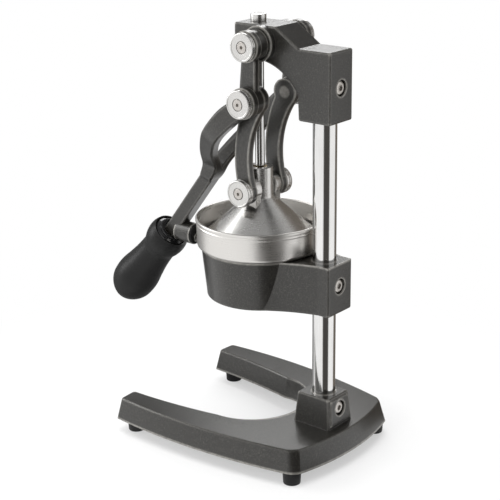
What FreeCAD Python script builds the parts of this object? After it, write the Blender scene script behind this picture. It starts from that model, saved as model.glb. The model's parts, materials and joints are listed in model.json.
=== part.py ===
import FreeCAD, Part
import os
import Sketcher
from FreeCAD import Placement, Rotation, Vector

os.makedirs("parts", exist_ok=True)
doc = FreeCAD.newDocument("lever_press")

# Frame: +Z up, the handle side is -Y, the column axis is the Z axis, the floor is z = 0.
sheet = doc.addObject("Spreadsheet::Sheet", "dims")


class Size:
    """A number together with the sheet expression it comes from."""

    def __init__(self, value, text):
        self.value = value
        self.text = text

    def __add__(self, other):
        other = as_size(other)
        return Size(self.value + other.value, "(%s + %s)" % (self.text, other.text))

    def __radd__(self, other):
        return as_size(other) + self

    def __sub__(self, other):
        other = as_size(other)
        return Size(self.value - other.value, "(%s - %s)" % (self.text, other.text))

    def __rsub__(self, other):
        return as_size(other) - self

    def __mul__(self, other):
        other = as_size(other)
        return Size(self.value * other.value, "(%s * %s)" % (self.text, other.text))

    def __rmul__(self, other):
        return as_size(other) * self

    def __neg__(self):
        return Size(-self.value, "(0 - %s)" % self.text)


def as_size(item):
    if isinstance(item, Size):
        return item
    return Size(float(item), "(%.6f)" % item)


rows = [0]


def dim(alias, value):
    rows[0] += 1
    cell = "A%d" % rows[0]
    sheet.set(cell, "%g" % value)
    sheet.setAlias(cell, alias)
    return Size(float(value), "dims.%s" % alias)


# Fits and small distances used everywhere
fit = dim("fit_gap", 0.05)
run = dim("running_gap", 0.06)
apart = dim("body_gap", 0.3)

# Distance from the column axis forward to the middle of the footprint
frame_middle = dim("frame_middle", 115.59)

# Base casting and feet
foot_height = dim("foot_height", 13)
base_top = dim("base_top", 34.2)
base_lean = dim("base_lean", 4.4)
front_half = dim("base_front_half_width", 89.4)
front_y = dim("base_front_depth", 187.5)
bulge_half = front_half + dim("base_side_bulge", 2.9)
back_half = front_half - dim("base_back_narrowing", 14.8)
back_corner_y = dim("base_back_corner", 22.8)
back_mid_y = dim("base_back_middle", 34.6)
gap_half = front_half - dim("leg_width", 29.2)
gap_bend_half = gap_half - dim("gap_bend_inset", 11.2)
gap_bend_y = dim("base_gap_bend_depth", 85)
gap_end_y = dim("base_gap_end", 27)
foot_radius = dim("foot_radius", 8)
foot_rear_x = back_half - dim("rear_foot_side_inset", 8.8)
foot_rear_y = back_corner_y - dim("rear_foot_back_inset", 9.6)
foot_front_x = front_half - dim("front_foot_side_inset", 14.8)
foot_front_y = front_y - dim("front_foot_end_inset", 13.5)
foot_screw_radius = dim("foot_screw_radius", 2)

# Column and its socket
column_radius = dim("column_radius", 10.8)
column_start = dim("column_start", 17)
column_end = dim("column_end", 380)
socket_half = dim("socket_half_width", 18.4)
socket_front = dim("socket_front", 21.6)
socket_back = dim("socket_back", 19.6)
socket_top = dim("socket_top", 63.6)
socket_draft = dim("socket_draft", 5)
panel_half = dim("panel_half_width", 15.4)
panel_low = dim("panel_bottom", 36.6)
panel_high = dim("panel_top", 61.4)
panel_proud = dim("panel_height", 0.9)
panel_round = dim("panel_edge_radius", 1)
panel_face = dim("panel_face_at_screw", 19.1)

# Set screws
screw_radius = dim("clamp_screw_radius", 4)
clamp_head_radius = dim("clamp_screw_head_radius", 6.1)
clamp_head_depth = dim("clamp_screw_head_depth", 2.6)
screw_hex = dim("clamp_screw_socket_radius", 2.9)
recess_radius = dim("screw_recess_radius", 7.3)
recess_depth = dim("screw_recess_depth", 3.6)
head_screw_z = dim("head_screw_level", 353.5)
holder_screw_z = dim("holder_screw_level", 171.8)
socket_screw_z = dim("socket_screw_level", 51.3)

# Cup holder and bowl
bowl_radius = dim("bowl_radius", 60)
reach = bowl_radius + column_radius + dim("bowl_to_column_gap", 3.2)
holder_top = dim("holder_top", 193.4)
holder_bottom = dim("holder_bottom", 145.7)
holder_low_radius = dim("holder_low_radius", 51.4)
holder_draft = dim("holder_draft", 5)
holder_half = dim("holder_block_half_width", 18)
holder_back = dim("holder_block_back", 17.9)
holder_wall = dim("holder_wall", 5)
outlet_radius = dim("outlet_radius", 16)
lug_radius = dim("stop_lug_radius", 4.8)
lug_z = dim("stop_level", 187)
lug_drop = dim("stop_lug_drop", 3.2)
bowl_rim_z = dim("bowl_rim_level", 221.2)
bowl_wall = dim("bowl_wall", 1.2)
bowl_floor_z = holder_top + fit
spout_radius = dim("spout_radius", 9)
spout_end = dim("spout_end", 137)

# Head casting
head_half = dim("head_half_width", 16.6)
head_back = dim("head_back", 17.4)
head_front = dim("head_front", 17.2)
head_bottom = dim("head_bottom", 322.7)
head_block_top = dim("head_block_top", 386.1)
nose_top = dim("nose_top", 402.9)
nose_front = reach + dim("nose_past_rod", 14.7)
nose_under = dim("nose_underside", 371.3)
nose_crest = dim("nose_crest", 42.3)
boss_radius = dim("head_boss_radius", 16)
boss_face = dim("head_boss_face", 22.4)

# Pivots
upper_y = dim("upper_pivot_depth", 57.6)
upper_z = dim("upper_pivot_level", 387)
mid_y = dim("middle_pivot_depth", 59.7)
mid_z = dim("middle_pivot_level", 337)
low_z = dim("lower_pivot_level", 249.6)
shaft_radius = dim("upper_shaft_radius", 6)
pin_radius = dim("pin_radius", 5)
cap_radius = dim("cap_radius", 12.8)
cap_edge = dim("cap_edge", 0.7)
screw_head_radius = dim("cap_screw_head_radius", 5.2)
screw_head_depth = dim("cap_screw_head_depth", 3)
screw_shank_radius = dim("cap_screw_shank_radius", 2.5)
cap_hex = dim("cap_screw_socket_radius", 1.7)
upper_cap_in = dim("upper_cap_inner", 39.5)
upper_cap_out = dim("upper_cap_outer", 44.4)
mid_cap_in = dim("middle_cap_inner", 42.25)
mid_cap_out = dim("middle_cap_outer", 48.4)
low_cap_in = dim("lower_cap_inner", 25.55)
low_cap_out = dim("lower_cap_outer", 32.3)

# Guide rod and press cone
rod_radius = dim("guide_rod_radius", 4.5)
rod_end = dim("guide_rod_end", 241)
nut_radius = dim("nut_radius", 7.1)
nut_height = dim("nut_height", 6.6)
tube_radius = dim("press_tube_radius", 12.1)
tube_top = dim("press_tube_top", 269.7)
bush_radius = dim("bush_radius", 6.8)
cone_root_z = dim("cone_root_level", 241.5)
cone_radius = dim("cone_radius", 54)
cone_lip_z = dim("cone_lip_level", 203.5)
cone_wall = dim("cone_wall", 3)
ear_radius = dim("ear_radius", 11.3)
ear_root_half = dim("ear_root_half_width", 9.4)
ear_face = dim("ear_face", 18.1)

# Links
link_in = dim("link_inner_face", 18.5)
link_out = dim("link_outer_face", 25.5)
link_eye = dim("link_eye_radius", 12.4)

# Lever
eye_in = dim("lever_eye_inner", 22.7)
eye_out = dim("lever_eye_outer", 39.2)
eye_step = dim("lever_eye_step", 33.2)
eye_radius = dim("lever_eye_radius", 14)
eye_small = dim("lever_eye_small_radius", 13)
mid_in = dim("lever_boss_inner", 25.8)
mid_out = dim("lever_boss_outer", 42.2)
mid_step = dim("lever_boss_step", 35.4)
arm_in = dim("arm_inner_face", 28.6)
arm_out = dim("arm_outer_face", 34.6)
arm_back = dim("arm_back_offset", 8.5)
arm_front_round = dim("arm_front_round", 4)
arm_rear_round = dim("arm_rear_round", 1)
shaft_half = dim("lever_shaft_half", 7)
peg_radius = dim("stop_boss_radius", 10.4)
peg_end = dim("stop_boss_end", 156.5)
bumper_thickness = dim("bumper_thickness", 1.8)
bumper_radius = peg_radius - dim("bumper_inset", 0.7)
stop_gap = dim("stop_gap", 0.4)

# Grip, along its own axis from the mouth
grip_angle = dim("grip_angle", 138.8)
grip_y = dim("grip_mouth_depth", 187.9)
grip_z = dim("grip_mouth_level", 184.4)
grip_mouth = dim("grip_mouth_radius", 18.2)
grip_lip = dim("grip_lip_radius", 20.3)
grip_waist = dim("grip_waist_radius", 17.1)
grip_bulb = dim("grip_bulb_radius", 22.3)
grip_length = dim("grip_length", 108.5)
tang_radius = dim("tang_radius", 5.5)
tang_length = dim("tang_length", 84)

doc.recompute()

tools = []


def bind(item, prop, size):
    item.setExpression(prop, as_size(size).text)


def place(item, x, y, z, turn=None):
    item.Placement = Placement(Vector(0, 0, 0), turn or Rotation())
    bind(item, "Placement.Base.x", x)
    bind(item, "Placement.Base.y", y)
    bind(item, "Placement.Base.z", z)


ALONG_X = Rotation(Vector(0, 1, 0), 90)
ALONG_Y = Rotation(Vector(1, 0, 0), -90)
AGAINST_Y = Rotation(Vector(1, 0, 0), 90)


def cylinder(name, radius, length, x, y, z, turn=None):
    item = doc.addObject("Part::Cylinder", name)
    bind(item, "Radius", radius)
    bind(item, "Height", length)
    place(item, x, y, z, turn)
    return item


def cylinder_x(name, radius, start, end, y, z):
    return cylinder(name, radius, end - start, start, y, z, ALONG_X)


def cone(name, low, high, length, x, y, z, turn=None):
    item = doc.addObject("Part::Cone", name)
    bind(item, "Radius1", low)
    bind(item, "Radius2", high)
    bind(item, "Height", length)
    place(item, x, y, z, turn)
    return item


def box(name, length, width, height, x, y, z):
    item = doc.addObject("Part::Box", name)
    bind(item, "Length", length)
    bind(item, "Width", width)
    bind(item, "Height", height)
    place(item, x, y, z)
    return item


def prism(name, sides, radius, length, x, y, z, turn=None):
    item = doc.addObject("Part::Prism", name)
    item.Polygon = sides
    bind(item, "Circumradius", radius)
    bind(item, "Height", length)
    place(item, x, y, z, turn)
    return item


def fuse(name, parts):
    item = doc.addObject("Part::MultiFuse", name)
    item.Shapes = parts
    item.Refine = True
    return item


def cut(name, base, parts):
    item = doc.addObject("Part::Cut", name)
    item.Base = base
    item.Tool = parts[0] if len(parts) == 1 else fuse(name + "_tools", parts)
    item.Refine = True
    return item


def plane(body, role):
    for feature in body.Origin.OriginFeatures:
        if feature.Role == role:
            return feature
    raise RuntimeError("no plane " + role)


def outline(sketch, corners, vias):
    """Closed outline through bound corners; an edge with a via point becomes an arc."""
    count = len(corners)
    spots = [Vector(as_size(c[0]).value, as_size(c[1]).value, 0) for c in corners]
    ends = []
    for index in range(count):
        first = spots[index]
        last = spots[(index + 1) % count]
        via = vias.get(index)
        if via is None:
            edge = sketch.addGeometry(Part.LineSegment(first, last), False)
            ends.append((edge, 1, 2))
            continue
        middle = Vector(as_size(via[0]).value, as_size(via[1]).value, 0)
        side = (middle - first).cross(last - first).z
        if side > 0:
            edge = sketch.addGeometry(Part.Arc(first, middle, last), False)
            ends.append((edge, 1, 2))
        else:
            edge = sketch.addGeometry(Part.Arc(last, middle, first), False)
            ends.append((edge, 2, 1))
        mark = sketch.addGeometry(Part.Point(middle), True)
        pin_point(sketch, mark, 1, via)
        sketch.addConstraint(Sketcher.Constraint("PointOnObject", mark, 1, edge))
    for index in range(count):
        edge, start, end = ends[index]
        following, begin, _ = ends[(index + 1) % count]
        sketch.addConstraint(Sketcher.Constraint("Coincident", edge, end, following, begin))
    for index in range(count):
        edge, start, end = ends[index]
        pin_point(sketch, edge, start, corners[index])


def pin_point(sketch, geometry, point, spot):
    for kind, axis_kind, size in (("DistanceX", "y", spot[0]), ("DistanceY", "x", spot[1])):
        size = as_size(size)
        if abs(size.value) < 1e-9:
            line = -2 if kind == "DistanceX" else -1
            sketch.addConstraint(Sketcher.Constraint("PointOnObject", geometry, point, line))
            continue
        number = sketch.addConstraint(
            Sketcher.Constraint(kind, -1, 1, geometry, point, size.value))
        sketch.setExpression("Constraints[%d]" % number, size.text)


def new_sketch(body, role, offset, name):
    sketch = doc.addObject("Sketcher::SketchObject", name)
    body.addObject(sketch)
    sketch.AttachmentSupport = [(plane(body, role), "")]
    sketch.MapMode = "FlatFace"
    if offset is not None:
        bind(sketch, "AttachmentOffset.Base.z", offset)
    return sketch


def new_body(name):
    return doc.addObject("PartDesign::Body", name)


def pad(body, sketch, length, taper=None):
    feature = doc.addObject("PartDesign::Pad", body.Name + "_pad")
    body.addObject(feature)
    feature.Profile = sketch
    bind(feature, "Length", length)
    if taper is not None:
        bind(feature, "TaperAngle", taper)
    body.Tip = feature
    return feature


def round_edges(body, radius, chosen, name):
    doc.recompute()
    before = body.Tip
    names = []
    for index, edge in enumerate(before.Shape.Edges):
        if chosen(edge):
            names.append("Edge%d" % (index + 1))
    if not names:
        raise RuntimeError("no edges for " + name)
    feature = doc.addObject("PartDesign::Fillet", name)
    body.addObject(feature)
    feature.Base = (before, names)
    bind(feature, "Radius", radius)
    body.Tip = feature
    doc.recompute()
    return feature


def plate(name, role, offset, length, corners, vias, taper=None):
    body = new_body(name)
    sketch = new_sketch(body, role, offset, name + "_outline")
    outline(sketch, corners, vias)
    pad(body, sketch, length, taper)
    return body


def lofted(name, levels):
    """Ruled loft through outlines given as (height, (corners, vias))."""
    body = new_body(name)
    sketches = []
    for index, (level, shape) in enumerate(levels):
        sketch = new_sketch(body, "XY_Plane", level, "%s_level_%d" % (name, index))
        outline(sketch, shape[0], shape[1])
        sketches.append(sketch)
    feature = doc.addObject("PartDesign::AdditiveLoft", name + "_loft")
    body.addObject(feature)
    feature.Profile = sketches[0]
    feature.Sections = sketches[1:]
    feature.Ruled = True
    body.Tip = feature
    return body


def turned(name, corners, vias, x, y, z, turn=None):
    """Full revolution of a half section (radius, height) about the local Z axis."""
    body = new_body(name)
    sketch = new_sketch(body, "XZ_Plane", None, name + "_section")
    outline(sketch, corners, vias)
    feature = doc.addObject("PartDesign::Revolution", name + "_turn")
    body.addObject(feature)
    feature.Profile = sketch
    feature.ReferenceAxis = (sketch, ["V_Axis"])
    feature.Angle = 360
    body.Tip = feature
    place(body, x, y, z, turn)
    return body


nodes = {}


def node(name, item):
    item.Label = name
    nodes[name] = item


def mirrored_x(x_low, x_high, side):
    """The span of a piece on one side: side is +1 or -1."""
    if side > 0:
        return x_low, x_high
    return -x_high, -x_low


# Base casting with its gap between the legs and the column socket
def base_outline(lean):
    front = front_y - lean * 0.75
    side = front_half - lean
    bulge = bulge_half - lean
    back = back_half - lean
    corner = back_corner_y - lean
    inside = gap_half + lean
    bend = gap_bend_half + lean
    knee = 0.5 * (inside + bend) + 2.3
    half_way = -0.5 * (front + gap_bend_y)
    widest = -0.62 * front_y
    right = [(inside + 3, -(front + 0.9)), (side - 3, -front), (side, -(front - 3)),
             (back + 1.2, corner - 6.9), (back - 6.7, corner + 1.9)]
    inner = [(inside, -(front - 2.2)), (bend, -gap_bend_y)]
    left = [(-x, y) for x, y in reversed(right)]
    inner_left = [(-x, y) for x, y in inner]
    corners = right + left + inner_left + [inner[1], inner[0]]
    right_vias = {1: (side - 0.88, -(front - 0.88)), 2: (bulge, widest),
                  3: (back - 2.15, corner - 1.95)}
    vias = {4: (0, back_mid_y - lean)}
    for index, (x, y) in right_vias.items():
        vias[index] = (x, y)
        vias[8 - index] = (-x, y)
    vias[9] = (-(inside + 0.88), -(front - 0.1))
    vias[10] = (-knee, half_way)
    vias[11] = (0, -(gap_end_y + lean))
    vias[12] = (knee, half_way)
    vias[13] = (inside + 0.88, -(front - 0.1))
    return corners, vias


edge_round = dim("base_edge_round", 1.6)
base_body = lofted("base_plate", [
    (foot_height, base_outline(as_size(0))),
    (base_top - edge_round, base_outline(base_lean - 0.3)),
    (base_top - edge_round * 0.35, base_outline(base_lean + 0.25)),
    (base_top, base_outline(base_lean + 1.1))])

socket_body = plate(
    "socket_block", "XY_Plane", base_top - 3, socket_top - base_top + 3,
    [(socket_half, -socket_front), (socket_half, socket_back),
     (-socket_half, socket_back), (-socket_half, -socket_front)], {}, -socket_draft)
small_round = dim("block_edge_round", 1.6)


def is_upright_or_top(edge):
    low = edge.BoundBox
    return low.ZLength > 15 or low.ZMin > socket_top.value - 0.01


round_edges(socket_body, small_round, is_upright_or_top, "socket_round")
panel_body = plate(
    "socket_panel", "XY_Plane", panel_low, panel_high - panel_low,
    [(panel_half, 0), (panel_half, socket_back + panel_proud),
     (-panel_half, socket_back + panel_proud), (-panel_half, 0)], {}, -socket_draft)


def is_panel_outer(edge):
    low = edge.BoundBox
    return low.YMax > 12 and low.YMin > 1


round_edges(panel_body, panel_round, is_panel_outer, "panel_edge_round")
base_casting = fuse("base_casting", [base_body, socket_body, panel_body])
feet_spots = [("front_right", foot_front_x, -foot_front_y), ("front_left", -foot_front_x, -foot_front_y),
              ("rear_right", foot_rear_x, foot_rear_y), ("rear_left", -foot_rear_x, foot_rear_y)]
base_holes = [cylinder("column_bore", column_radius + fit, socket_top - column_start + 1,
                       0, 0, column_start)]
base_holes.append(cylinder("socket_thread", screw_radius + fit, socket_back + 2,
                           0, 0, socket_screw_z, ALONG_Y))
base_holes.append(cylinder("socket_recess", recess_radius, 8,
                           0, panel_face - recess_depth, socket_screw_z, ALONG_Y))
for label, x, y in feet_spots:
    base_holes.append(cylinder("foot_thread_" + label, foot_screw_radius + fit, 11,
                               x, y, foot_height - 1))
node("base", cut("base_cut", base_casting, base_holes))

# Rubber feet, each held by a screw from below
foot_screws = []
for label, x, y in feet_spots:
    foot = turned(
        "foot_" + label + "_body",
        [(foot_screw_radius + fit, 5.5), (4.6, 5.5), (4.6, 0), (foot_radius - 1.2, 0),
         (foot_radius - 0.3, 0.9), (foot_radius, foot_height), (foot_screw_radius + fit, foot_height)],
        {}, x, y, 0)
    node("foot_" + label, foot)
    screw = turned(
        "foot_screw_" + label,
        [(0, 3.6), (1.2, 3.6), (1.2, 2.6), (3.6, 2.6), (4.2, 3.4), (4.2, 5.5),
         (foot_screw_radius, 5.5), (foot_screw_radius, foot_height + 8.5), (0, foot_height + 8.5)],
        {}, x, y, 0)
    foot_screws.append(screw)

# Column
column = turned(
    "column_body",
    [(0, column_start), (column_radius - 1, column_start), (column_radius, column_start + 1),
     (column_radius, column_end - 1), (column_radius - 1, column_end), (0, column_end)],
    {}, 0, 0, 0)
node("column", column)


# Clamp screws with domed hexagon socket heads; their tips bear on the column
def clamp_screw(name, level, face):
    top = face - recess_depth + clamp_head_depth
    tip = column_radius + fit
    blank = turned(
        name + "_blank",
        [(0, tip), (screw_radius - 0.6, tip), (screw_radius, tip + 0.6),
         (screw_radius, top - clamp_head_depth + fit), (clamp_head_radius, top - clamp_head_depth + fit),
         (clamp_head_radius, top - 1.1), (clamp_head_radius - 2.2, top), (0, top)],
        {5: (clamp_head_radius - 0.8, top - 0.3)}, 0, 0, level, ALONG_Y)
    socket = prism(name + "_hex", 6, screw_hex, 3, 0, top - 1.7, level, ALONG_Y)
    return cut(name, blank, [socket])


set_screws = [clamp_screw("clamp_screw_head", head_screw_z, head_back),
              clamp_screw("clamp_screw_holder", holder_screw_z, holder_back),
              clamp_screw("clamp_screw_socket", socket_screw_z, panel_face)]

# Cup holder
waist_x = dim("holder_waist_x", 24)
waist_y = dim("holder_waist_y", 12.5)
join_x = dim("holder_join_x", 38.6)
join_y = dim("holder_join_y", 40)
holder_body = plate(
    "holder_body", "XY_Plane", holder_bottom, holder_top - holder_bottom,
    [(holder_half, 6), (holder_half, holder_back), (-holder_half, holder_back), (-holder_half, 6),
     (-join_x, -join_y), (join_x, -join_y)],
    {3: (-waist_x, -waist_y), 4: (0, -(reach + holder_low_radius)), 5: (waist_x, -waist_y)},
    None)
holder_round = dim("holder_edge_round", 2.2)


def is_block_corner(edge):
    low = edge.BoundBox
    return low.YMin > holder_back.value - 0.01 and low.ZLength > 20


round_edges(holder_body, holder_round, is_block_corner, "holder_corner_round")


def is_holder_bottom(edge):
    low = edge.BoundBox
    return low.ZMax < holder_bottom.value + 0.01


round_edges(holder_body, holder_round, is_holder_bottom, "holder_bottom_round")
holder_skirt = cone("holder_skirt", holder_low_radius, holder_low_radius + 4.6,
                    holder_top - holder_bottom - 3, 0, -reach, holder_bottom + 3)
stop_lug = cylinder("stop_lug", lug_radius, peg_end - bumper_thickness - stop_gap - reach - 50,
                    0, -(reach + 50), lug_z - lug_drop, AGAINST_Y)
holder_mass = fuse("holder_mass", [holder_body, holder_skirt, stop_lug])
cavity = cylinder("holder_cavity", holder_low_radius - holder_wall, 60, 0, -reach, holder_bottom + 6)
outlet = cylinder("holder_outlet", outlet_radius, 20, 0, -reach, holder_bottom - 5)
holder_bore = cylinder("holder_bore", column_radius + fit, 60, 0, 0, holder_bottom - 5)
holder_thread = cylinder("holder_thread", screw_radius + fit, holder_back + 2,
                         0, 0, holder_screw_z, ALONG_Y)
holder_recess = cylinder("holder_recess", recess_radius, 6, 0, holder_back - recess_depth,
                         holder_screw_z, ALONG_Y)
node("cup_holder", cut("holder_cut", holder_mass,
                       [cavity, outlet, holder_bore, holder_thread, holder_recess]))

# Juice bowl: rim, wall, floor, funnel and spout in one stainless pressing
bowl = turned(
    "bowl_body",
    [(bowl_radius + 0.8, bowl_rim_z - 2), (bowl_radius + 0.8, bowl_rim_z + 0.2),
     (bowl_radius - bowl_wall - 0.4, bowl_rim_z + 0.2), (bowl_radius - bowl_wall, bowl_rim_z - 1),
     (bowl_radius - bowl_wall, bowl_floor_z + 5), (bowl_radius - bowl_wall - 4, bowl_floor_z + bowl_wall),
     (43, bowl_floor_z + bowl_wall), (spout_radius - bowl_wall, 166),
     (spout_radius - bowl_wall, spout_end), (spout_radius, spout_end),
     (spout_radius, 165.4), (42.6, bowl_floor_z), (bowl_radius - 4.6, bowl_floor_z),
     (bowl_radius, bowl_floor_z + 4.6), (bowl_radius, bowl_rim_z - 2)],
    {1: (bowl_radius - 0.5, bowl_rim_z + 1.1)}, 0, -reach, 0)
node("bowl", bowl)

# Reamer cone with its flange and drain holes
reamer_tip = dim("reamer_tip_level", 232.5)
reamer_radius = dim("reamer_radius", 42)
reamer_z = bowl_floor_z + bowl_wall + fit
reamer = turned(
    "reamer_body",
    [(0, reamer_tip - 1.8), (5, reamer_tip - 3.6), (reamer_radius - 3, reamer_z + 2.4),
     (reamer_radius - 1, reamer_z), (53.4, reamer_z), (53.4, reamer_z + 1.4),
     (reamer_radius, reamer_z + 1.4), (reamer_radius - 1.6, reamer_z + 3.4),
     (6, reamer_tip - 1.4), (0, reamer_tip)],
    {}, 0, -reach, 0)
drain_radius = dim("drain_radius", 2)
drain_ring = dim("drain_ring_radius", 47.5)
drain = cylinder("drain_hole", drain_radius, 6, drain_ring, 0, reamer_z - 2)
drains = doc.addObject("Part::Feature", "drain_holes")
doc.recompute()
hole_shapes = []
for index in range(16):
    shape = drain.Shape.copy()
    shape.rotate(Vector(0, 0, 0), Vector(0, 0, 1), index * 22.5 + 11.25)
    shape.translate(Vector(0, -reach.value, 0))
    hole_shapes.append(shape)
drains.Shape = Part.Compound(hole_shapes)
node("reamer", cut("reamer_cut", reamer, [drains]))

# Head casting
head_body = plate(
    "head_body", "YZ_Plane", -head_half, head_half * 2,
    [(head_back, head_bottom), (head_back, head_block_top), (-(head_front - 0.5), head_block_top),
     (-nose_crest, nose_top), (-nose_front, nose_top), (-nose_front, nose_under),
     (-upper_y, nose_under), (-(head_front + 0.9), 345.5), (-head_front, head_bottom)],
    {6: (-34.2, 362.3)})
head_round = dim("head_edge_round", 2)


def every_edge(edge):
    return edge.Length > 0


round_edges(head_body, head_round, every_edge, "head_all_round")
boss = cylinder_x("head_boss", boss_radius, -boss_face, boss_face, -upper_y, upper_z)
head_mass = fuse("head_mass", [head_body, boss])
head_bore = cylinder("head_bore", column_radius + fit, column_end - head_bottom + 1.5,
                     0, 0, head_bottom - 1)
head_rod_bore = cylinder("head_rod_bore", rod_radius + fit, nose_top - nose_under + 20,
                         0, -reach, nose_under - 10)
head_shaft_bore = cylinder_x("head_shaft_bore", shaft_radius + fit, -(boss_face + 8), boss_face + 8,
                             -upper_y, upper_z)
head_thread = cylinder("head_thread", screw_radius + fit, head_back + 2, 0, 0, head_screw_z, ALONG_Y)
head_recess = cylinder("head_recess", recess_radius, 6, 0, head_back - recess_depth,
                       head_screw_z, ALONG_Y)
node("head", cut("head_cut", head_mass,
                 [head_bore, head_rod_bore, head_shaft_bore, head_thread, head_recess]))

# Guide rod, its nut and the fixed upper shaft
rod = turned(
    "rod_body",
    [(0, rod_end), (rod_radius - 0.8, rod_end), (rod_radius, rod_end + 0.8),
     (rod_radius, nose_top + 4), (0, nose_top + 4)],
    {}, 0, -reach, 0)
node("guide_rod", rod)
nut = turned(
    "nut_body",
    [(rod_radius + fit, nose_top), (nut_radius, nose_top), (nut_radius, nose_top + nut_height - 0.8),
     (nut_radius - 0.8, nose_top + nut_height), (0, nose_top + nut_height), (0, nose_top + 4.2),
     (rod_radius + fit, nose_top + 4.2)],
    {}, 0, -reach, 0)
node("guide_rod_nut", nut)
shaft_end = upper_cap_in - 0.05
shaft_blank = cylinder_x("shaft_blank", shaft_radius, -shaft_end, shaft_end, -upper_y, upper_z)
shaft_hole_r = cylinder_x("shaft_hole_right", screw_shank_radius + fit, shaft_end - 13, shaft_end + 1,
                          -upper_y, upper_z)
shaft_hole_l = cylinder_x("shaft_hole_left", screw_shank_radius + fit, -(shaft_end + 1),
                          -(shaft_end - 13), -upper_y, upper_z)
node("upper_shaft", cut("shaft_cut", shaft_blank, [shaft_hole_r, shaft_hole_l]))


# Caps: polished discs with a countersunk seat for the socket screw
def cap(name, start, end, y, z, side):
    thick = end - start
    turn = Rotation(Vector(0, 1, 0), 90 * side)
    return turned(
        name,
        [(screw_shank_radius + fit, 0), (cap_radius - cap_edge, 0), (cap_radius, cap_edge),
         (cap_radius, thick * 0.42), (cap_radius - 0.5, thick * 0.42 + 0.35),
         (cap_radius, thick * 0.42 + 0.7), (cap_radius, thick - cap_edge), (cap_radius - cap_edge, thick),
         (screw_head_radius + 0.25, thick), (screw_head_radius + 0.25, thick - screw_head_depth - 0.2),
         (screw_shank_radius + fit, thick - screw_head_depth - 0.2)],
        {}, side * start, y, z, turn)


def cap_screw(name, start, end, depth, y, z, side):
    thick = end - start
    turn = Rotation(Vector(0, 1, 0), 90 * side)
    blank = turned(
        name + "_blank",
        [(0, -depth), (screw_shank_radius, -depth), (screw_shank_radius, thick - screw_head_depth - 0.2),
         (screw_head_radius, thick - screw_head_depth - 0.2), (screw_head_radius, thick - 0.6),
         (screw_head_radius - 0.4, thick - 0.2), (0, thick - 0.2)],
        {}, side * start, y, z, turn)
    hexagon = prism(name + "_hex", 6, cap_hex, 3, side * (end - 2.2), y, z, turn)
    return cut(name, blank, [hexagon])


# Press pieces that exist once per side
upper_cap_screws = []
mid_cap_screws = []
for side, word in ((1, "right"), (-1, "left")):
    node("upper_cap_" + word, cap("upper_cap_body_" + word, upper_cap_in, upper_cap_out,
                                  -upper_y, upper_z, side))
    upper_cap_screws.append(cap_screw("upper_cap_screw_" + word, upper_cap_in, upper_cap_out, 11,
                                      -upper_y, upper_z, side))
    node("mid_cap_" + word, cap("mid_cap_body_" + word, mid_cap_in, mid_cap_out, -mid_y, mid_z, side))
    mid_cap_screws.append(cap_screw("mid_cap_screw_" + word, mid_cap_in, mid_cap_out, 11,
                                    -mid_y, mid_z, side))
    node("lower_cap_" + word, cap("lower_cap_body_" + word, low_cap_in, low_cap_out,
                                  -reach, low_z, side))
    node("lower_cap_screw_" + word, cap_screw("lower_cap_screw_" + word, low_cap_in, low_cap_out, 5,
                                              -reach, low_z, side))

    # Pins: the middle pin is held by the lever and stops short of the link, where the loop is open;
    # the lower pin is held by the link and runs in the ear of the press cone
    low, high = mirrored_x(link_out + apart, mid_cap_in - 0.05, side)
    pin = cylinder_x("mid_pin_blank_" + word, pin_radius, low, high, -mid_y, mid_z)
    low, high = mirrored_x(mid_cap_in - 12, mid_cap_in + 1, side)
    hole = cylinder_x("mid_pin_hole_" + word, screw_shank_radius + fit, low, high, -mid_y, mid_z)
    node("mid_pin_" + word, cut("mid_pin_cut_" + word, pin, [hole]))
    low, high = mirrored_x(tube_radius + apart, low_cap_in - 0.05, side)
    pin = cylinder_x("lower_pin_blank_" + word, pin_radius, low, high, -reach, low_z)
    low, high = mirrored_x(low_cap_in - 5.4, low_cap_in + 1, side)
    hole = cylinder_x("lower_pin_hole_" + word, screw_shank_radius + fit, low, high, -reach, low_z)
    node("lower_pin_" + word, cut("lower_pin_cut_" + word, pin, [hole]))

    # Link: bowed bar between two eyes
    low, high = mirrored_x(link_in, link_out, side)
    bar = plate(
        "link_bar_" + word, "YZ_Plane", low, high - low,
        [(-(mid_y + 11.2), mid_z - 5.2), (-(reach + 6.4), low_z + 9), (-(reach - 10.6), low_z + 6),
         (-(mid_y - 8.2), mid_z - 9.3)],
        {0: (-82.4, 288), 2: (-66.5, 288)})
    upper = cylinder_x("link_eye_top_" + word, link_eye, low, high, -mid_y, mid_z)
    lower = cylinder_x("link_eye_low_" + word, link_eye - 0.4, low, high, -reach, low_z)
    blank = fuse("link_blank_" + word, [bar, upper, lower])
    low, high = mirrored_x(link_in + 1.6, link_out + 1, side)
    top_bore = cylinder_x("link_bore_top_" + word, pin_radius + run, low, high, -mid_y, mid_z)
    low, high = mirrored_x(link_in - 1, link_out + 1, side)
    low_bore = cylinder_x("link_bore_low_" + word, pin_radius + fit, low, high, -reach, low_z)
    node("link_" + word, cut("link_cut_" + word, blank, [top_bore, low_bore]))

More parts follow.
